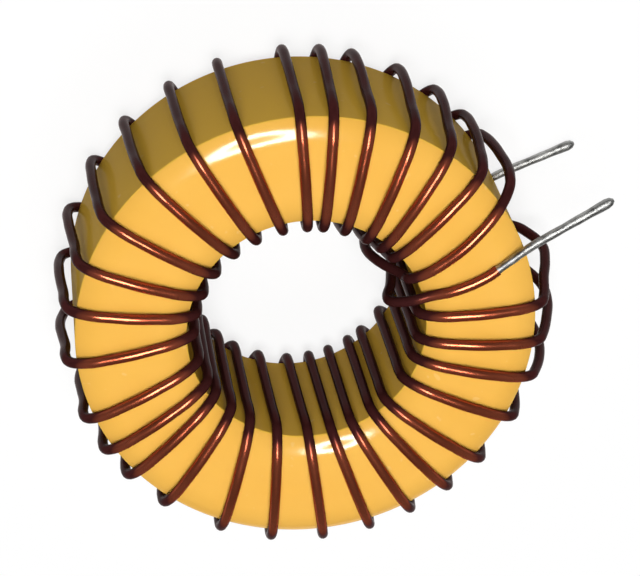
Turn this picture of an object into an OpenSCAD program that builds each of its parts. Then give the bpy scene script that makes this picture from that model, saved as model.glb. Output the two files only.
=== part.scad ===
// Toroidal inductor: a coated powder ring wound with one enamelled wire.
// The ring lies flat on its back turns at z = 0. Its axis is Z, its front face is up,
// and the two tinned ends of the wire point along +X.

/* [Core] */
// Outside diameter of the coated ring
core_od = 26.9; // [24:0.1:34]
// Diameter of the hole through the coated ring
hole_d = 14; // [12:0.1:17]
// Height of the coated ring along its axis
core_height = 10.6; // [8:0.1:16]
// How far in from the outer wall the ring's edges are crowned
outer_edge_run = 1.75; // [1.2:0.05:2.5]
// How far the crown of an outer edge drops by the time it meets the wall
outer_edge_drop = 0.55; // [0.3:0.05:1.2]
// How far out from the hole's wall its edges are crowned
hole_edge_run = 1.9; // [1.2:0.05:2.5]
// How far the crown of a hole's edge drops by the time it meets the wall
hole_edge_drop = 0.65; // [0.3:0.05:1.2]

/* [Wire] */
// Diameter of the enamelled wire
wire_d = 0.64; // [0.4:0.01:0.8]
// Clearance between the wire and the ring's coat
wire_clearance = 0.02; // [0.01:0.01:0.1]
// How far a turn stands off the outer wall where it turns over an edge
stand_off = 0.2; // [0:0.05:0.4]
// How far a turn stands off the hole's wall
hole_stand_off = 0.1; // [0:0.05:0.4]
// How far a turn arches up in the middle of the front face
front_arch = 0.1; // [0:0.05:0.4]
// How far the first pass through the hole stands off the wall
first_pass_slack = 1.5; // [0:0.1:2]
// How far the last pass through the hole bows away from the wall
last_pass_bow = 1.5; // [0:0.1:2]

/* [Leads] */
// Diameter of a lead's tinned free end
lead_d = 0.62; // [0.4:0.01:0.8]
// Length of the front lead's straight free end
front_lead_free = 5.3; // [2:0.1:20]
// Length of the rear lead's straight free end
rear_lead_free = 4.9; // [2:0.1:20]
// How far past the ring's outer wall the free end starts
lead_root = 0.35; // [0.1:0.05:2]
// How far inside the ring's outer wall the enamel stops
bare_margin = 2.1; // [1:0.1:4]
// Angle between a lead's free end and its stretch across the ring's edge
lead_bend = 6.5; // [1:0.5:8]
// Angle by which the rear lead's free end turns away from the front one
rear_lead_turn = 8; // [0:1:10]
// Sideways place of the front lead
front_lead_y = -1.9; // [-4:0.1:0]
// Sideways place of the rear lead
rear_lead_y = -2.3; // [-5:0.1:0]

/* [Hidden] */
$fn = 96;

// Where each hand-wound turn comes over the front outer edge, in degrees about the axis
turn_angles = [
    335, 325, 315, 303, 289, 278, 267, 256, 244, 231, 218, 202, 190, 181, 171,
    155, 141, 129, 116, 102, 89, 77, 62, 54, 45, 34, 24, 14, 6
];
// Degrees that each turn gains on its way across the front face
turn_slants = [
    -2, 2, 3, 4, 5, 3, 4, 4, 4, 7, 9, 5, 5, 4, 7,
    7, 4, 3, 3, 3, 3, 5, 2, 2, 4, 5, 4, 2, 6
];
// Degrees that each turn gains on its way up the outer wall
turn_leans = [
    2, 2, 2, 2, 2, 2, 2, 2, 2, 2, 2, 2, 2, 3, 4,
    5, 4, 3, 2, 3, 2, 1, 0, -1, 0, -1, -2, -2, -1
];
// How far each turn bows off the outer wall, in wire diameters
turn_bows = [
    1.9, 2, 1.8, 1, 0.5, 0.3, 0.2, 0.2, 0.2, 0.2, 0.2, 0.2, 0.3, 0.4, 0.8,
    0.7, 0.4, 0.4, 0.4, 0.3, 0.3, 0.3, 0.4, 0.5, 0.6, 0.6, 0.6, 0.6, 1.3
];
// How far up the wall each turn bows most, as a share of the way from the back
turn_peaks = [
    0.3, 0.4, 0.5, 0.5, 0.5, 0.5, 0.5, 0.5, 0.5, 0.5, 0.5, 0.5, 0.4, 0.3, 0.2,
    0.2, 0.3, 0.2, 0.4, 0.5, 0.5, 0.4, 0.4, 0.3, 0.3, 0.3, 0.3, 0.4, 0.9
];
// Degrees that a turn gains on its way down the hole
hole_gain = 2;
// Angles of the first pass at the front and at the back of the hole
first_pass = [-13, -16];
// Angles of the last pass at the front and at the back of the hole
last_pass = [-2.5, -6];
// Degrees by which the last pass swings aside half way down
last_pass_swing = 12;

// Points along a bowed stretch, and sides of the wire's skin
bow_rings = 3;
wire_sides = 8;

outer_r = core_od / 2;
hole_r = hole_d / 2;
wire_r = wire_d / 2;
// Height of the wire's centreline above the coat
wire_rise = wire_r + wire_clearance;
core_bottom = wire_r + wire_rise;
core_top = core_bottom + core_height;
front_z = core_top + wire_rise;
back_z = core_bottom - wire_rise;
// Middle of the flat part of a face
face_r = (outer_r - outer_edge_run + hole_r + hole_edge_run) / 2;

// Thickness of the solder that makes the free end of a lead thicker than its stretch on the ring
solder = 0.02;
root_x = outer_r + lead_root;
bare_length = bare_margin + lead_root;
// Length of wire that runs straight on from a lead
lead_stub = wire_d;
// How far a lead's two stretches overlap where they meet
lead_overlap = lead_d / 10;
// Each lead: place of its bend, direction of its free end in degrees, and length of its free end
front_end = [[root_x, front_lead_y, front_z], 0, front_lead_free];
rear_end = [[root_x, rear_lead_y, back_z], -rear_lead_turn, rear_lead_free];

function at(r, angle, z) = [r * cos(angle), r * sin(angle), z];
function unit(v) = v / norm(v);
function plan(p) = [p.x, p.y];
function reversed(list) = [for (i = [len(list) - 1:-1:0]) list[i]];

// Where the wire's straight pieces meet as it turns over a crowned edge, from the face to the wall,
// as distances out from the crown's start and up from the face. Each piece is clear of the crown.
function over_edge(run, drop, gap) =
    let (crown_r = (run * run + drop * drop) / (2 * drop))
    let (path_r = crown_r + wire_rise)
    let (tilt = min(asin(run / crown_r), 75))
    let (wall = run + wire_rise + gap)
    let (corner = [wall, (path_r - wall * sin(tilt)) / cos(tilt) - crown_r])
    let (half = (tilt + 90) / 2)
    let (spare = (corner - [run, -drop]) * [sin(half), cos(half)] - wire_rise)
    let (cut = spare / 2 / cos(half))
    [
        [path_r * tan(tilt / 2), wire_rise],
        corner + cut * [-cos(tilt), sin(tilt)],
        corner - [0, cut]
    ];
function outer_edge(front, angle, gap) = [
    for (p = over_edge(outer_edge_run, outer_edge_drop, gap))
        at(outer_r - outer_edge_run + p.x, angle, front ? core_top + p.y : core_bottom - p.y)
];
function hole_edge(front, angle, slack = 0) = [
    for (p = over_edge(hole_edge_run, hole_edge_drop, hole_stand_off))
        at(hole_r + hole_edge_run - slack - p.x, angle, front ? core_top + p.y : core_bottom - p.y)
];

// Moves the points of a stretch sideways onto a straight line, as seen along the axis
function straighten(points) =
    let (first = plan(points[0]))
    let (last = plan(points[len(points) - 1]))
    [
        for (p = points)
            let (r = norm(plan(p)))
            let (share = (norm(first) - r) / (norm(first) - norm(last)))
            let (way = unit(first + (last - first) * share))
            [r * way.x, r * way.y, p.z]
    ];

// How far a turn stands off the outer wall, at a share of the way up it
function wall_gap(k, share) =
    let (peak = turn_peaks[k])
    let (rising = sqrt(sin(90 * min(share / peak, 1))))
    let (falling = pow(sin(90 * min((1 - share) / (1 - peak), 1)), 0.5 / peak))
    stand_off + wire_d * turn_bows[k] * rising * falling;

// Stretches of a turn: from the outer wall to the hole over the front and over the back, and up the wall
function cross_front(k, hole_angle) = straighten(concat(
    reversed(outer_edge(true, turn_angles[k], wall_gap(k, 0.95))),
    [at(face_r, turn_angles[k], front_z + front_arch)],
    hole_edge(true, hole_angle)
));
function cross_back(k, hole_angle) = straighten(concat(
    reversed(outer_edge(false, turn_angles[k] + turn_leans[k], wall_gap(k, 0.05))),
    hole_edge(false, hole_angle)
));
function climb(k) = [
    for (i = [1:bow_rings])
        let (share = i / (bow_rings + 1))
        let (z = core_bottom + outer_edge_drop + share * (core_height - 2 * outer_edge_drop))
        at(outer_r + wire_rise + wall_gap(k, share), turn_angles[k] + turn_leans[k] * (1 - share), z)
];
// The first and last stretches down the hole, off its wall
function loose_pass(angles, swing, slack, bow) = [
    for (i = [1:bow_rings])
        let (share = i / (bow_rings + 1))
        let (angle = angles[0] + (angles[1] - angles[0]) * share + swing * sin(180 * share))
        let (z = core_top - hole_edge_drop - share * (core_height - 2 * hole_edge_drop))
        let (r = hole_r - wire_rise - hole_stand_off - slack * (1 - share) - bow * sin(180 * share))
        at(r, angle, z)
];

// One turn, from the back of the hole up the outer wall, over the front face and into the hole
last_turn = len(turn_angles) - 1;
function front_hole_angle(k) = k == last_turn ? last_pass[0] : turn_angles[k] - turn_slants[k];
function back_hole_angle(k) = k == 0 ? first_pass[1] : front_hole_angle(k - 1) - hole_gain;
function turn(k) = concat(
    reversed(cross_back(k, back_hole_angle(k))),
    climb(k),
    cross_front(k, front_hole_angle(k))
);

function bare_angle(end) = end[1] + lead_bend;
function lead_base(end) = end[0] - bare_length * at(1, bare_angle(end), 0);
function stub_end(end) = lead_base(end) - lead_stub * at(1, bare_angle(end), 0);

route = concat(
    [lead_base(front_end), stub_end(front_end)],
    hole_edge(true, first_pass[0], first_pass_slack),
    loose_pass(first_pass, 0, first_pass_slack, 0),
    [for (k = [0:last_turn]) each turn(k)],
    loose_pass(last_pass, last_pass_swing, 0, last_pass_bow),
    reversed(hole_edge(false, last_pass[1])),
    [stub_end(rear_end), lead_base(rear_end)]
);

// One ring of the wire's skin, square to the route and widened where the wire bends
function wire_ring(path, i) =
    let (before = max(i, 1))
    let (after = min(i + 1, len(path) - 1))
    let (arrive = unit(path[before] - path[before - 1]))
    let (leave = unit(path[after] - path[after - 1]))
    let (along = unit(arrive + leave))
    let (around = unit([-path[i].y, path[i].x, 0]))
    let (side = unit(around - along * (around * along)))
    let (up = cross(along, side))
    let (swerve = leave - arrive)
    let (outward = norm(swerve) > 0.001 ? unit(swerve) : [0, 0, 0])
    let (widening = 1 / (along * arrive) - 1)
    [
        for (j = [0:wire_sides - 1])
            let (t = 360 * j / wire_sides)
            let (spoke = cos(t) * side + sin(t) * up)
            path[i] + wire_r * (spoke + widening * (spoke * outward) * outward)
    ];

module wire(path) {
    rings = len(path);
    skin = [
        for (i = [0:rings - 2])
            for (j = [0:wire_sides - 1])
                let (a = i * wire_sides + j)
                let (b = i * wire_sides + (j + 1) % wire_sides)
                each [[a, a + wire_sides, b], [b, a + wire_sides, b + wire_sides]]
    ];
    first_cap = [for (j = [0:wire_sides - 1]) j];
    last_cap = [for (j = [wire_sides - 1:-1:0]) (rings - 1) * wire_sides + j];
    polyhedron(
        points = [for (i = [0:rings - 1]) each wire_ring(path, i)],
        faces = concat(skin, [first_cap, last_cap])
    );
}

// A tinned end: a straight free stretch, and a thinner one that crosses the ring's edge to the enamel
module lead(end) {
    translate(end[0])
        rotate([0, 90, end[1]])
            cylinder(d = lead_d, h = end[2]);
    translate(lead_base(end))
        rotate([0, 90, bare_angle(end)])
            cylinder(d = lead_d - 2 * solder, h = bare_length + lead_overlap);
}

module core() {
    color("gold")
        translate([0, 0, core_bottom])
            rotate_extrude()
                core_section();
}

// Half section of the ring, with its four crowned edges
module core_section() {
    difference() {
        translate([hole_r, 0])
            square([outer_r - hole_r, core_height]);
        for (top = [0, 1])
            translate([0, top * core_height])
                mirror([0, 1 - top]) {
                    translate([outer_r, 0])
                        edge_cut(outer_edge_run, outer_edge_drop);
                    translate([hole_r, 0])
                        mirror([1, 0])
                            edge_cut(hole_edge_run, hole_edge_drop);
                }
    }
}

// What a crowned edge takes off a square corner that points to +X and +Y
module edge_cut(run, drop) {
    crown_r = (run * run + drop * drop) / (2 * drop);
    translate([-run, -crown_r])
        difference() {
            square(2 * crown_r);
            circle(crown_r);
        }
}

module winding() {
    color("sienna")
        wire(route);
}

module front_lead() {
    color("silver")
        lead(front_end);
}

module rear_lead() {
    color("silver")
        lead(rear_end);
}

core();
winding();
front_lead();
rear_lead();
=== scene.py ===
import math

import bpy
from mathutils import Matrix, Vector


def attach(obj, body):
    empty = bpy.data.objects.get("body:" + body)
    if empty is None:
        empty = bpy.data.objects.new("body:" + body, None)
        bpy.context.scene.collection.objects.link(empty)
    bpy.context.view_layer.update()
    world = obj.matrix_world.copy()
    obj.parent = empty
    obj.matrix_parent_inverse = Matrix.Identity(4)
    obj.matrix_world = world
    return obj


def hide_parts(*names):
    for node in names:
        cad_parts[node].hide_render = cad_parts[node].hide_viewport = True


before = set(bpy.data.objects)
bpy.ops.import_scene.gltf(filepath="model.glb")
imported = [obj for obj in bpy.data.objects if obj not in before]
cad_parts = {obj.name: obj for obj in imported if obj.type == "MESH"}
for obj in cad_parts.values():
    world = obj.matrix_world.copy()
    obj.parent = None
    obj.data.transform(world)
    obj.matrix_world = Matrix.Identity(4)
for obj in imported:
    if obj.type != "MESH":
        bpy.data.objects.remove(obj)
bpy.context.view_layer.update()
mm = 0.001
print("frame loaded:", sorted(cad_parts))


# a number or colour that travels through the shader's nodes
class Flow:
    def __init__(self, tree, socket):
        self.tree, self.socket = tree, socket

    def maths(self, operation, first, second):
        node = self.tree.nodes.new("ShaderNodeMath")
        node.operation = operation
        feed(self.tree, node.inputs[0], first)
        feed(self.tree, node.inputs[1], second)
        return Flow(self.tree, node.outputs[0])

    def __add__(self, other):
        return self.maths("ADD", self, other)

    def __radd__(self, other):
        return self.maths("ADD", other, self)

    def __sub__(self, other):
        return self.maths("SUBTRACT", self, other)

    def __rsub__(self, other):
        return self.maths("SUBTRACT", other, self)

    def __mul__(self, other):
        return self.maths("MULTIPLY", self, other)

    def __rmul__(self, other):
        return self.maths("MULTIPLY", other, self)


def feed(tree, socket, value):
    if isinstance(value, Flow):
        tree.links.new(value.socket, socket)
    else:
        socket.default_value = value


def grey(level):
    return (level, level, level, 1)


def setStops(elements, stops):
    while len(elements) < len(stops):
        elements.new(1.0)
    for element, (place, level) in zip(elements, stops):
        element.position, element.color = place, grey(level)


# one material, with a method that adds any node to it
class Finish:
    def __init__(self, name):
        self.material = bpy.data.materials.new(name)
        self.material.use_nodes = True
        self.tree = self.material.node_tree
        self.shader = self.tree.nodes["Principled BSDF"]

    def add(self, kind, settings, sockets, output=0):
        node = self.tree.nodes.new("ShaderNode" + kind)
        for key, value in settings.items():
            if key == "stops":
                setStops(node.color_ramp.elements, value)
            else:
                setattr(node, key, value)
        for key, value in sockets.items():
            feed(self.tree, node.inputs[key], value)
        return Flow(self.tree, node.outputs[output])

    def objectPoint(self):
        return self.add("TexCoord", {}, {}, "Object")

    def noise(self, point, scale, detail, roughness=0.5):
        return self.add("TexNoise", {}, {
            "Vector": point, "Scale": scale, "Detail": detail, "Roughness": roughness})

    def blend(self, factor, first, second):
        return self.add("Mix", {"data_type": "RGBA"}, {0: factor, 6: first, 7: second}, 2)

    def ramp(self, value, stops):
        return self.add("ValToRGB", {"stops": stops}, {"Fac": value})

    def length(self, vector):
        return self.add("VectorMath", {"operation": "LENGTH"}, {0: vector}, "Value")

    def bump(self, height, strength, distance):
        return self.add("Bump", {}, {"Height": height, "Strength": strength, "Distance": distance})

    def glow(self, strength):
        return self.add("Emission", {}, {"Color": grey(1), "Strength": strength})

    def surface(self):
        return Flow(self.tree, self.shader.outputs[0])

    # sets the main shader's sockets by name, with _ for a space
    def finish(self, **sockets):
        for key, value in sockets.items():
            feed(self.tree, self.shader.inputs[key.replace("_", " ")], value)
        return self.material

    # shows this in place of the main shader
    def show(self, surface):
        self.tree.links.new(surface.socket, self.tree.nodes["Material Output"].inputs["Surface"])
        return self.material


def startFresh():
    bpy.ops.object.select_all(action="DESELECT")


def keep(piece, name, node, material):
    piece.name = piece.data.name = name
    piece.data.materials.clear()
    piece.data.materials.append(material)
    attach(piece, "root")
    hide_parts(node)
    print("made", name, len(piece.data.polygons), "faces")


# the ring: a section drawn point by point, then spun
ring = {
    "outerR": 13.45 * mm, "holeR": 7 * mm, "bottom": 0.66 * mm, "top": 11.26 * mm,
    "outerRun": 1.75 * mm, "outerDrop": 0.55 * mm,  # crown of the outer edges
    "holeRun": 1.9 * mm, "holeDrop": 0.65 * mm,  # crown of the hole's edges
    "arrisR": 0.1 * mm, "crownSteps": 10, "arrisSteps": 4, "steps": 288, "weld": 0.002 * mm,
}


def crownRadius(run, drop):
    return (run * run + drop * drop) / (2 * drop)


# points of a crowned edge from the flat face to the wall, as distances out and down
def crownedEdge(run, drop):
    crownR, soft = crownRadius(run, drop), ring["arrisR"]
    meet = math.asin((run - soft) / (crownR - soft))
    softDown = crownR - math.sqrt((crownR - soft) ** 2 - (run - soft) ** 2)
    points = []
    for i in range(ring["crownSteps"]):
        tilt = meet * i / ring["crownSteps"]
        points.append((crownR * math.sin(tilt), crownR - crownR * math.cos(tilt)))
    for i in range(ring["arrisSteps"] + 1):
        tilt = meet + (math.pi / 2 - meet) * i / ring["arrisSteps"]
        points.append((run - soft + soft * math.sin(tilt), softDown - soft * math.cos(tilt)))
    return points


def ringSection():
    outer = crownedEdge(ring["outerRun"], ring["outerDrop"])
    hole = crownedEdge(ring["holeRun"], ring["holeDrop"])
    outerFrom, holeFrom = ring["outerR"] - ring["outerRun"], ring["holeR"] + ring["holeRun"]
    points = [(outerFrom + out, ring["top"] - down) for out, down in outer]
    points += [(outerFrom + out, ring["bottom"] + down) for out, down in reversed(outer)]
    points += [(holeFrom - out, ring["bottom"] + down) for out, down in hole]
    points += [(holeFrom - out, ring["top"] - down) for out, down in reversed(hole)]
    return [Vector((r, 0, z)) for r, z in points]


def makeRing(material):
    section = ringSection()
    startFresh()
    bpy.ops.mesh.primitive_plane_add(size=mm, location=(0, 0, 0))
    piece = bpy.context.object
    bpy.ops.object.mode_set(mode="EDIT")
    bpy.ops.mesh.merge(type="CENTER")  # one point to draw with
    bpy.ops.transform.translate(value=section[0])
    for here, there in zip(section, section[1:] + section[:1]):
        bpy.ops.mesh.extrude_region_move(TRANSFORM_OT_translate={"value": there - here})
    bpy.ops.mesh.select_all(action="SELECT")
    bpy.ops.mesh.remove_doubles(threshold=ring["weld"])
    bpy.ops.mesh.spin(steps=ring["steps"], angle=math.tau, center=(0, 0, 0), axis=(0, 0, 1))
    bpy.ops.mesh.select_all(action="SELECT")
    bpy.ops.mesh.remove_doubles(threshold=ring["weld"])
    bpy.ops.mesh.normals_make_consistent(inside=False)
    bpy.ops.object.mode_set(mode="OBJECT")
    bpy.ops.object.shade_smooth()
    keep(piece, "coatedRing", "core", material)


# the wire: the same turns as the part's source, with true bends; angles are in degrees
wire = {
    "drawnR": 0.31 * mm, "gauge": 0.64 * mm,
    "rise": 0.34 * mm,  # from the coat to the wire's middle
    "bendR": 1.3 * mm, "bendOff": 0.28 * mm, "standOff": 0.2 * mm,  # at the outer wall
    "holeBendR": 1.0 * mm, "holeStandOff": 0.14 * mm, "holeGain": 2,  # in the hole
    "arch": 0.1 * mm,  # in the middle of the front face
    "firstPass": (-13, -16), "firstSlack": 1.5 * mm, "firstSink": 0.35 * mm,
    "lastPass": (-2.5, -6), "lastSwing": 12, "lastBow": 1.5 * mm, "lastSag": 0.45 * mm,
    "looseFrom": 24, "looseBow": 0.5 * mm,  # passes from this turn on bow off the hole's wall
    # shares of the way at which the route has its points
    "crownShares": (0, 0.4, 0.75), "bendShares": (0, 0.5, 1), "edgeShares": (0.05, 0.16),
    "climbShares": (0.3, 0.5, 0.7), "passShares": (0.25, 0.5, 0.75),
    "steps": 4,  # between two points
    # where each turn comes over the front edge, and what it gains over the face and up the wall
    "angles": [335, 325, 315, 303, 289, 278, 267, 256, 244, 231, 218, 202, 190, 181, 171,
               155, 141, 129, 116, 102, 89, 77, 62, 54, 45, 34, 24, 14, 6],
    "slants": [-2, 2, 3, 4, 5, 3, 4, 4, 4, 7, 9, 5, 5, 4, 7,
               7, 4, 3, 3, 3, 3, 5, 2, 2, 4, 5, 4, 2, 6],
    "leans": [2, 2, 2, 2, 2, 2, 2, 2, 2, 2, 2, 2, 2, 3, 4,
              5, 4, 3, 2, 3, 2, 1, 0, -1, 0, -1, -2, -2, -1],
    # how far each turn bows off the outer wall, in gauges, and at which share of the way up
    "bows": [1.9, 2, 1.8, 1, 0.5, 0.3, 0.2, 0.2, 0.2, 0.2, 0.2, 0.2, 0.3, 0.4, 0.8,
             0.7, 0.4, 0.4, 0.4, 0.3, 0.3, 0.3, 0.4, 0.5, 0.6, 0.6, 0.6, 0.6, 1.3],
    "peaks": [0.3, 0.4, 0.5, 0.5, 0.5, 0.5, 0.5, 0.5, 0.5, 0.5, 0.5, 0.5, 0.4, 0.3, 0.2,
              0.2, 0.3, 0.2, 0.4, 0.5, 0.5, 0.4, 0.4, 0.3, 0.3, 0.3, 0.3, 0.4, 0.9],
}


def around(r, angle, z):
    turn = math.radians(angle)
    return Vector((r * math.cos(turn), r * math.sin(turn), z))


# centreline over a crowned edge, from the face to the wall, as distances out and up
def overEdge(run, drop, bendR, off, slope=0):
    crownR = crownRadius(run, drop)
    pathR = crownR + wire["rise"]
    out = run + wire["rise"] + off - bendR
    up = math.sqrt((pathR - bendR) ** 2 - out * out)
    tilt = math.atan2(out, up)
    points = []
    for share in wire["crownShares"]:
        turn = tilt * share
        points.append((pathR * math.sin(turn), pathR * math.cos(turn) - crownR))
    for share in wire["bendShares"]:
        turn = tilt + (math.pi / 2 - slope - tilt) * share
        points.append((out + bendR * math.sin(turn), up - crownR + bendR * math.cos(turn)))
    return points


# how far a turn stands off the outer wall, at a share of the way up it
def wallGap(k, share):
    peak = wire["peaks"][k]
    if share < peak:
        swell = math.sqrt(math.sin(math.pi / 2 * share / peak))
    else:
        swell = math.sin(math.pi / 2 * (1 - share) / (1 - peak)) ** (0.5 / peak)
    return wire["standOff"] + wire["gauge"] * wire["bows"][k] * swell


# the bend ends at the slope at which the turn leaves or meets the wall
def outerEdge(front, k):
    z, way = (ring["top"], 1) if front else (ring["bottom"], -1)
    angle = wire["angles"][k] + (0 if front else wire["leans"][k])
    near, far = wire["edgeShares"]
    off, further = [wallGap(k, 1 - share if front else share) for share in (near, far)]
    slope = math.atan2(further - off, (far - near) * (ring["top"] - ring["bottom"]))
    off = max(off, wire["bendOff"])
    bendR = wire["bendR"] + off - wire["bendOff"]
    bend = overEdge(ring["outerRun"], ring["outerDrop"], bendR, off, slope)
    crownFrom = ring["outerR"] - ring["outerRun"]
    return [around(crownFrom + out, angle, z + way * up) for out, up in bend]


def holeEdge(front, angle, slack=0, sink=0):
    z, way = (ring["top"] - sink, 1) if front else (ring["bottom"] + sink, -1)
    bend = overEdge(ring["holeRun"], ring["holeDrop"], wire["holeBendR"], wire["holeStandOff"])
    crownFrom = ring["holeR"] + ring["holeRun"] - slack
    return [around(crownFrom - out, angle, z + way * up) for out, up in bend]


# moves a run's points sideways onto a straight or sagging line, as seen along the axis
def straighten(points, sag=0):
    first, last = points[0], points[-1]
    far, near = first.xy.length, last.xy.length
    aside = (last.xy - first.xy).orthogonal().normalized() * sag
    straight = []
    for point in points:
        share = (far - point.xy.length) / (far - near)
        line = first.xy.lerp(last.xy, share) + aside * math.sin(math.pi * share)
        straight.append(Vector((*(line.normalized() * point.xy.length), point.z)))
    return straight


# up the outer wall
def climb(k):
    low, high = ring["bottom"] + ring["outerDrop"], ring["top"] - ring["outerDrop"]
    points = []
    for share in wire["climbShares"]:
        r = ring["outerR"] + wire["rise"] + wallGap(k, share)
        angle = wire["angles"][k] + wire["leans"][k] * (1 - share)
        points.append(around(r, angle, low + share * (high - low)))
    return points


# down the hole
def throughHole(angles, swing, slack, bow):
    low, high = ring["bottom"] + ring["holeDrop"], ring["top"] - ring["holeDrop"]
    wallR = ring["holeR"] - wire["rise"] - wire["holeStandOff"]
    points = []
    for share in wire["passShares"]:
        swell = math.sin(math.pi * share)
        angle = angles[0] + (angles[1] - angles[0]) * share + swing * swell
        r = wallR - slack * (1 - share) - bow * swell
        points.append(around(r, angle, high - share * (high - low)))
    return points


def midFace(outer, hole, lift):
    return outer[0].lerp(hole[0], 0.5) + Vector((0, 0, lift))


# from the outer wall over the front face and into the hole
def crossFront(k, holeAngle, sag=0):
    outer, hole = outerEdge(True, k), holeEdge(True, holeAngle)
    return straighten(outer[::-1] + [midFace(outer, hole, wire["arch"])] + hole, sag)


# from the hole over the back face to the outer wall
def crossBack(holeAngle, k):
    outer, hole = outerEdge(False, k), holeEdge(False, holeAngle)
    return straighten(outer[::-1] + [midFace(outer, hole, 0)] + hole)[::-1]


# the tinned ends: a stretch that crosses the ring's edge, a slight bend, then the free end
tails = {
    "bareLength": 2.45 * mm, "bend": 6.5, "radius": 0.31 * mm,
    "front": {"root": Vector((13.8, -1.9, 11.6)) * mm, "turn": 0, "free": 5.3 * mm},
    "rear": {"root": Vector((13.8, -2.3, 0.32)) * mm, "turn": -8, "free": 4.9 * mm},
    # shares of the two stretches, and how thick the solder is at each
    "bareShares": (0, 0.1, 0.4, 0.7, 0.9),
    "freeShares": (0.08, 0.25, 0.4, 0.55, 0.7, 0.82, 0.91, 0.965, 1),
    "thickness": (0.84, 0.74, 0.8, 0.76, 0.84,
                  0.82, 0.86, 0.8, 0.88, 0.86, 0.96, 1, 0.8, 0.3),
    "steps": 8,
}


def tailBase(end, further=0):
    return end["root"] - around(tails["bareLength"] + further, end["turn"] + tails["bend"], 0)


# the wire runs straight on from a tinned end for one gauge
def tailStub(end):
    return tailBase(end, wire["gauge"])


def wireRoute():
    start, end = tails["front"], tails["rear"]
    first, backAngle = wire["firstPass"]
    last = len(wire["angles"]) - 1
    points = [tailBase(start), tailStub(start)]
    points.append(around(ring["holeR"] + ring["holeRun"], first, ring["top"] + wire["rise"]))
    points += holeEdge(True, first, wire["firstSlack"], wire["firstSink"])
    points += throughHole(wire["firstPass"], 0, wire["firstSlack"], 0)
    for k in range(last):
        frontAngle = wire["angles"][k] - wire["slants"][k]
        points += crossBack(backAngle, k) + climb(k) + crossFront(k, frontAngle)
        backAngle = frontAngle - wire["holeGain"]
        bow = wire["looseBow"] if k >= wire["looseFrom"] else 0
        points += throughHole((frontAngle, backAngle), 0, 0, bow)
    points += crossBack(backAngle, last) + climb(last)
    points += crossFront(last, wire["lastPass"][0], wire["lastSag"])
    points += throughHole(wire["lastPass"], wire["lastSwing"], 0, wire["lastBow"])
    points += holeEdge(False, wire["lastPass"][1])[::-1]
    return points + [tailStub(end), tailBase(end)]


# a round rod along points: a curve with a bevel that is then made a mesh
rod = {"roundness": 5, "weld": 0.0005 * mm, "smoothTo": 40}


def rodAlong(points, radius, thickness, steps):
    startFresh()
    bpy.ops.curve.primitive_bezier_curve_add(location=(0, 0, 0))
    curve = bpy.context.object.data
    curve.dimensions = "3D"
    curve.bevel_depth, curve.bevel_resolution = radius, rod["roundness"]
    curve.resolution_u = steps
    curve.use_fill_caps = True
    knots = curve.splines[0].bezier_points
    knots.add(len(points) - len(knots))
    for knot, point, share in zip(knots, points, thickness):
        knot.co, knot.radius = point, share
    for knot in knots:
        knot.handle_left_type = knot.handle_right_type = "AUTO"
    bpy.ops.object.convert(target="MESH")
    bpy.ops.object.mode_set(mode="EDIT")
    bpy.ops.mesh.select_all(action="SELECT")
    bpy.ops.mesh.remove_doubles(threshold=rod["weld"])
    bpy.ops.mesh.normals_make_consistent(inside=False)
    bpy.ops.object.mode_set(mode="OBJECT")
    bpy.ops.object.shade_smooth_by_angle(angle=math.radians(rod["smoothTo"]))
    return bpy.context.object


def makeWire(material):
    points = wireRoute()
    piece = rodAlong(points, wire["drawnR"], [1] * len(points), wire["steps"])
    keep(piece, "enamelledWire", "winding", material)


def makeTail(end, name, node, material):
    base, root = tailBase(end), end["root"]
    points = [base + (root - base) * share for share in tails["bareShares"]]
    for share in tails["freeShares"]:
        points.append(root + around(end["free"] * share, end["turn"], 0))
    piece = rodAlong(points, tails["radius"], tails["thickness"], tails["steps"])
    keep(piece, name, node, material)


# in the looks below, a noise is its scale, detail and roughness, and a bump its strength and depth
# yellow coat: glossy on the faces, dull on the two walls with a painted greener tint for the shade
# on them, with pale specks
coatLook = {
    "tones": ((0.855, 0.46, 0.074, 1), (0.885, 0.49, 0.088, 1)),
    "toneNoise": (160.0, 3.0), "toneStops": [(0.3, 0), (0.7, 1)],
    "paintedWallShadeTint": (0.84, 0.50, 0.062, 1), "wallDulls": 0.92,
    "reach": 20 * mm,  # radius at which the ramp for the walls ends
    "holeFade": (0.04 * mm, 0.08 * mm), "outerFade": (0.07 * mm, 0.04 * mm),
    "speckTone": (0.95, 0.72, 0.35, 1), "speckShare": 0.2,
    "speckNoise": (1500.0, 1.0), "speckStops": [(0.74, 0), (0.78, 1)],
    "peelNoise": (360.0, 2.0), "fineNoise": (1500.0, 1.0), "fineShare": 0.12,
    "peelBump": (0.45, 0.03 * mm),
    "roughness": 0.3, "specular": 0.0, "glossRoughness": 0.13, "glossIor": 1.5,
}


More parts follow.
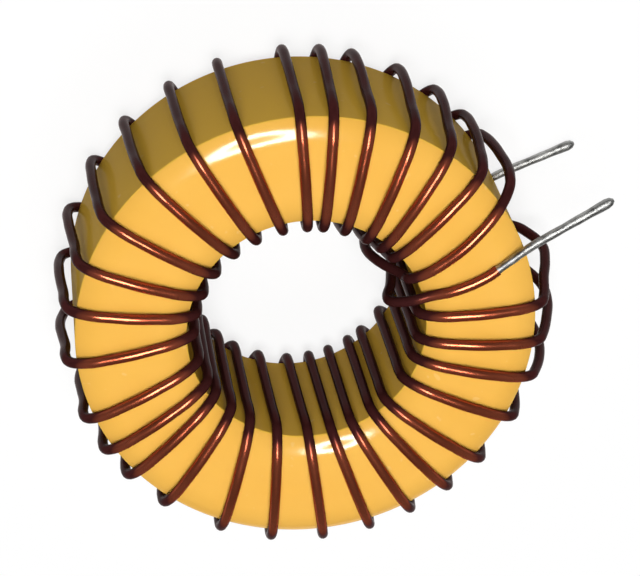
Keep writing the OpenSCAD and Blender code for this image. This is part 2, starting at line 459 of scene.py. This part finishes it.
def coatFinish():
    look = coatLook
    coat = Finish("yellowCoat")
    point = coat.objectPoint()
    tone = coat.ramp(coat.noise(point, *look["toneNoise"]), look["toneStops"])
    colour = coat.blend(tone, *look["tones"])
    reach, holeR, outerR = look["reach"], ring["holeR"], ring["outerR"]
    flat = coat.add("VectorMath", {"operation": "MULTIPLY"}, {
        0: point, 1: (1 / reach, 1 / reach, 0)})
    holeFull, holeNone = [(holeR + fade) / reach for fade in look["holeFade"]]
    outerNone, outerFull = [(outerR - fade) / reach for fade in look["outerFade"]]
    wall = coat.ramp(coat.length(flat), [
        (holeFull, 1), (holeNone, 0), (outerNone, 0), (outerFull, 1)])
    # painted shade tint: the walls get a greener tone that stands in for the shade and bounce
    # light falling on them
    colour = coat.blend(wall, colour, look["paintedWallShadeTint"])
    speck = coat.ramp(coat.noise(point, *look["speckNoise"]), look["speckStops"])
    colour = coat.blend(speck * look["speckShare"], colour, look["speckTone"])
    fine = coat.noise(point, *look["fineNoise"])
    peel = coat.noise(point, *look["peelNoise"]) + look["fineShare"] * fine
    return coat.finish(
        Base_Color=colour, Roughness=look["roughness"], Specular_IOR_Level=look["specular"],
        Coat_Weight=1 - look["wallDulls"] * wall, Coat_Roughness=look["glossRoughness"],
        Coat_IOR=look["glossIor"], Normal=coat.bump(peel, *look["peelBump"]))


# enamel: painted light and shade, a lit copper copy along the two faces and a dark brown shaded
# copy down the walls
enamelLook = {
    "shadedCopies": ((0.05, 0.0125, 0.012, 1), (0.066, 0.016, 0.0155, 1)),
    "litCopies": ((0.46, 0.108, 0.05, 1), (0.54, 0.128, 0.062, 1)),
    "toneNoise": (350.0, 3.0), "toneStops": [(0.3, 0), (0.7, 1)],
    "reach": 10 * mm,  # height from the ring's middle at which the ramp for the faces ends
    "faceFade": (0.15 * mm, 0.65 * mm),  # above the ring's face
    "metal": 0.3, "faceMetal": 0.58, "roughness": 0.23, "toneRoughness": 0.03,
    "specular": 0.03, "specularTint": (0.35, 0.2, 0.18, 1),
    "grainNoise": (2500.0, 2.0), "grainBump": (0.05, 0.01 * mm),
}


def enamelFinish():
    look = enamelLook
    enamel = Finish("brownEnamel")
    point = enamel.objectPoint()
    tone = enamel.ramp(enamel.noise(point, *look["toneNoise"]), look["toneStops"])
    middle, half = (ring["top"] + ring["bottom"]) / 2, (ring["top"] - ring["bottom"]) / 2
    height = enamel.add("SeparateXYZ", {}, {"Vector": point}, "Z")
    aside = enamel.add("Math", {"operation": "ABSOLUTE"}, {
        0: (height - middle) * (1 / look["reach"])})
    none, full = [(half + fade) / look["reach"] for fade in look["faceFade"]]
    face = enamel.ramp(aside, [(none, 0), (full, 1)])
    # painted light and shade: the lit copy goes on the faces, also more metallic there, and the
    # shaded copy down the walls
    shade, bright = enamel.blend(tone, *look["shadedCopies"]), enamel.blend(tone, *look["litCopies"])
    grain = enamel.noise(point, *look["grainNoise"])
    return enamel.finish(
        Base_Color=enamel.blend(face, shade, bright),
        Metallic=look["metal"] + look["faceMetal"] * face,
        Roughness=look["roughness"] + look["toneRoughness"] * tone,
        Specular_IOR_Level=look["specular"], Specular_Tint=look["specularTint"],
        Normal=enamel.bump(grain, *look["grainBump"]))


# solder: dull grey metal with small lumps
tinLook = {
    "tones": ((0.19, 0.19, 0.185, 1), (0.52, 0.52, 0.505, 1)),
    "toneNoise": (1600.0, 4.0, 0.65), "toneStops": [(0.35, 0), (0.65, 1)],
    "metal": 1.0, "roughness": 0.42, "toneRoughness": 0.14,
    "lumpNoise": (1100.0, 4.0, 0.6), "lumpBump": (0.7, 0.12 * mm),
}


def tinFinish():
    look = tinLook
    tin = Finish("dullSolder")
    point = tin.objectPoint()
    tone = tin.ramp(tin.noise(point, *look["toneNoise"]), look["toneStops"])
    lumps = tin.noise(point, *look["lumpNoise"])
    return tin.finish(
        Base_Color=tin.blend(tone, *look["tones"]), Metallic=look["metal"],
        Roughness=look["roughness"] + look["toneRoughness"] * tone,
        Normal=tin.bump(lumps, *look["lumpBump"]))


makeRing(coatFinish())
makeWire(enamelFinish())
solder = tinFinish()
makeTail(tails["front"], "frontTinnedEnd", "front_lead", solder)
makeTail(tails["rear"], "rearTinnedEnd", "rear_lead", solder)


# floor: white paper that keeps a soft shadow near the part and fades to plain white
floorLook = {
    "size": 4.0, "z": -0.02 * mm, "near": 0.014, "far": 0.03, "keptShadow": 0.25,
    "whites": (0.93, 0.96), "bounce": 0.36,  # bounce: what it throws back on the part
    "grainNoise": (500.0, 2.0), "roughness": 0.9,
}


def floorFinish():
    look = floorLook
    paper = Finish("whitePaper")
    point = paper.objectPoint()
    fade = paper.add("MapRange", {}, {
        "Value": paper.length(point), "From Min": look["near"], "From Max": look["far"],
        "To Min": 1 - look["keptShadow"], "To Max": 1.0})
    rays = ("Is Camera Ray", "Is Glossy Ray", "Is Transmission Ray")
    seen, mirrored, through = [paper.add("LightPath", {}, {}, name) for name in rays]
    shown = seen + mirrored + through
    white = paper.blend(
        paper.noise(point, *look["grainNoise"]), *[grey(level) for level in look["whites"]])
    paper.finish(
        Base_Color=paper.blend(shown, grey(look["bounce"]), white), Roughness=look["roughness"])
    return paper.show(paper.add("MixShader", {}, {
        0: fade * shown, 1: paper.surface(), 2: paper.glow(1.0)}))


startFresh()
bpy.ops.mesh.primitive_plane_add(size=floorLook["size"], location=(0, 0, floorLook["z"]))
floor = bpy.context.object
floor.name = "floor"
floor.data.materials.append(floorFinish())

# lamp: an oval ring of light over the part
lamp = {
    "distance": 0.35, "tilt": 13, "azimuth": 76, "outerR": 0.076, "innerR": 0.038,
    "wide": 0.78, "long": 1.1, "sides": 96, "strength": 31.5,
}


def upFrom(distance, tilt, azimuth):
    lean = math.radians(tilt)
    return around(distance * math.sin(lean), azimuth, distance * math.cos(lean))


startFresh()
bpy.ops.mesh.primitive_circle_add(
    vertices=lamp["sides"], radius=lamp["outerR"], fill_type="NGON", location=(0, 0, 0))
ringLamp = bpy.context.object
ringLamp.name = "ringLamp"
bpy.ops.object.mode_set(mode="EDIT")
bpy.ops.mesh.inset(thickness=lamp["outerR"] - lamp["innerR"])
bpy.ops.mesh.delete(type="FACE")
bpy.ops.object.mode_set(mode="OBJECT")
ringLamp.scale = (lamp["wide"], lamp["long"], 1)
ringLamp.location = upFrom(lamp["distance"], lamp["tilt"], lamp["azimuth"])
ringLamp.rotation_euler = ringLamp.location.to_track_quat("Z", "Y").to_euler()
lampGlow = Finish("lampGlow")
ringLamp.data.materials.append(lampGlow.show(lampGlow.glow(lamp["strength"])))

# a soft panel on the other side, and a dim room
panel = {"place": (-0.055, -0.19, 0.36), "size": 0.22, "power": 0.3}
room = {"level": 0.08}
bpy.ops.object.light_add(type="AREA", location=panel["place"])
softPanel = bpy.context.object
softPanel.name = "softPanel"
softPanel.data.size, softPanel.data.energy = panel["size"], panel["power"]
softPanel.visible_glossy = False
softPanel.rotation_euler = Vector(panel["place"]).to_track_quat("Z", "Y").to_euler()

world = bpy.data.worlds.new("dimRoom")
world.use_nodes = True
world.node_tree.nodes["Background"].inputs["Color"].default_value = grey(room["level"])
bpy.context.scene.world = world
bpy.context.scene.view_settings.view_transform = "Standard"

# camera at the photograph's angle, for an image of 640 by 576
view = {
    "place": (19.688 * mm, 62.086 * mm, 134.25 * mm), "turn": (-26.0816, -6.7001, -29.8064),
    "lens": 135.225, "sensor": 36, "clipStart": 5 * mm,
}
bpy.ops.object.camera_add(
    location=view["place"], rotation=[math.radians(angle) for angle in view["turn"]])
camera = bpy.context.object
camera.data.lens, camera.data.sensor_width = view["lens"], view["sensor"]
camera.data.clip_start = view["clipStart"]
bpy.context.scene.camera = camera
print("camera, floor and lamps set")
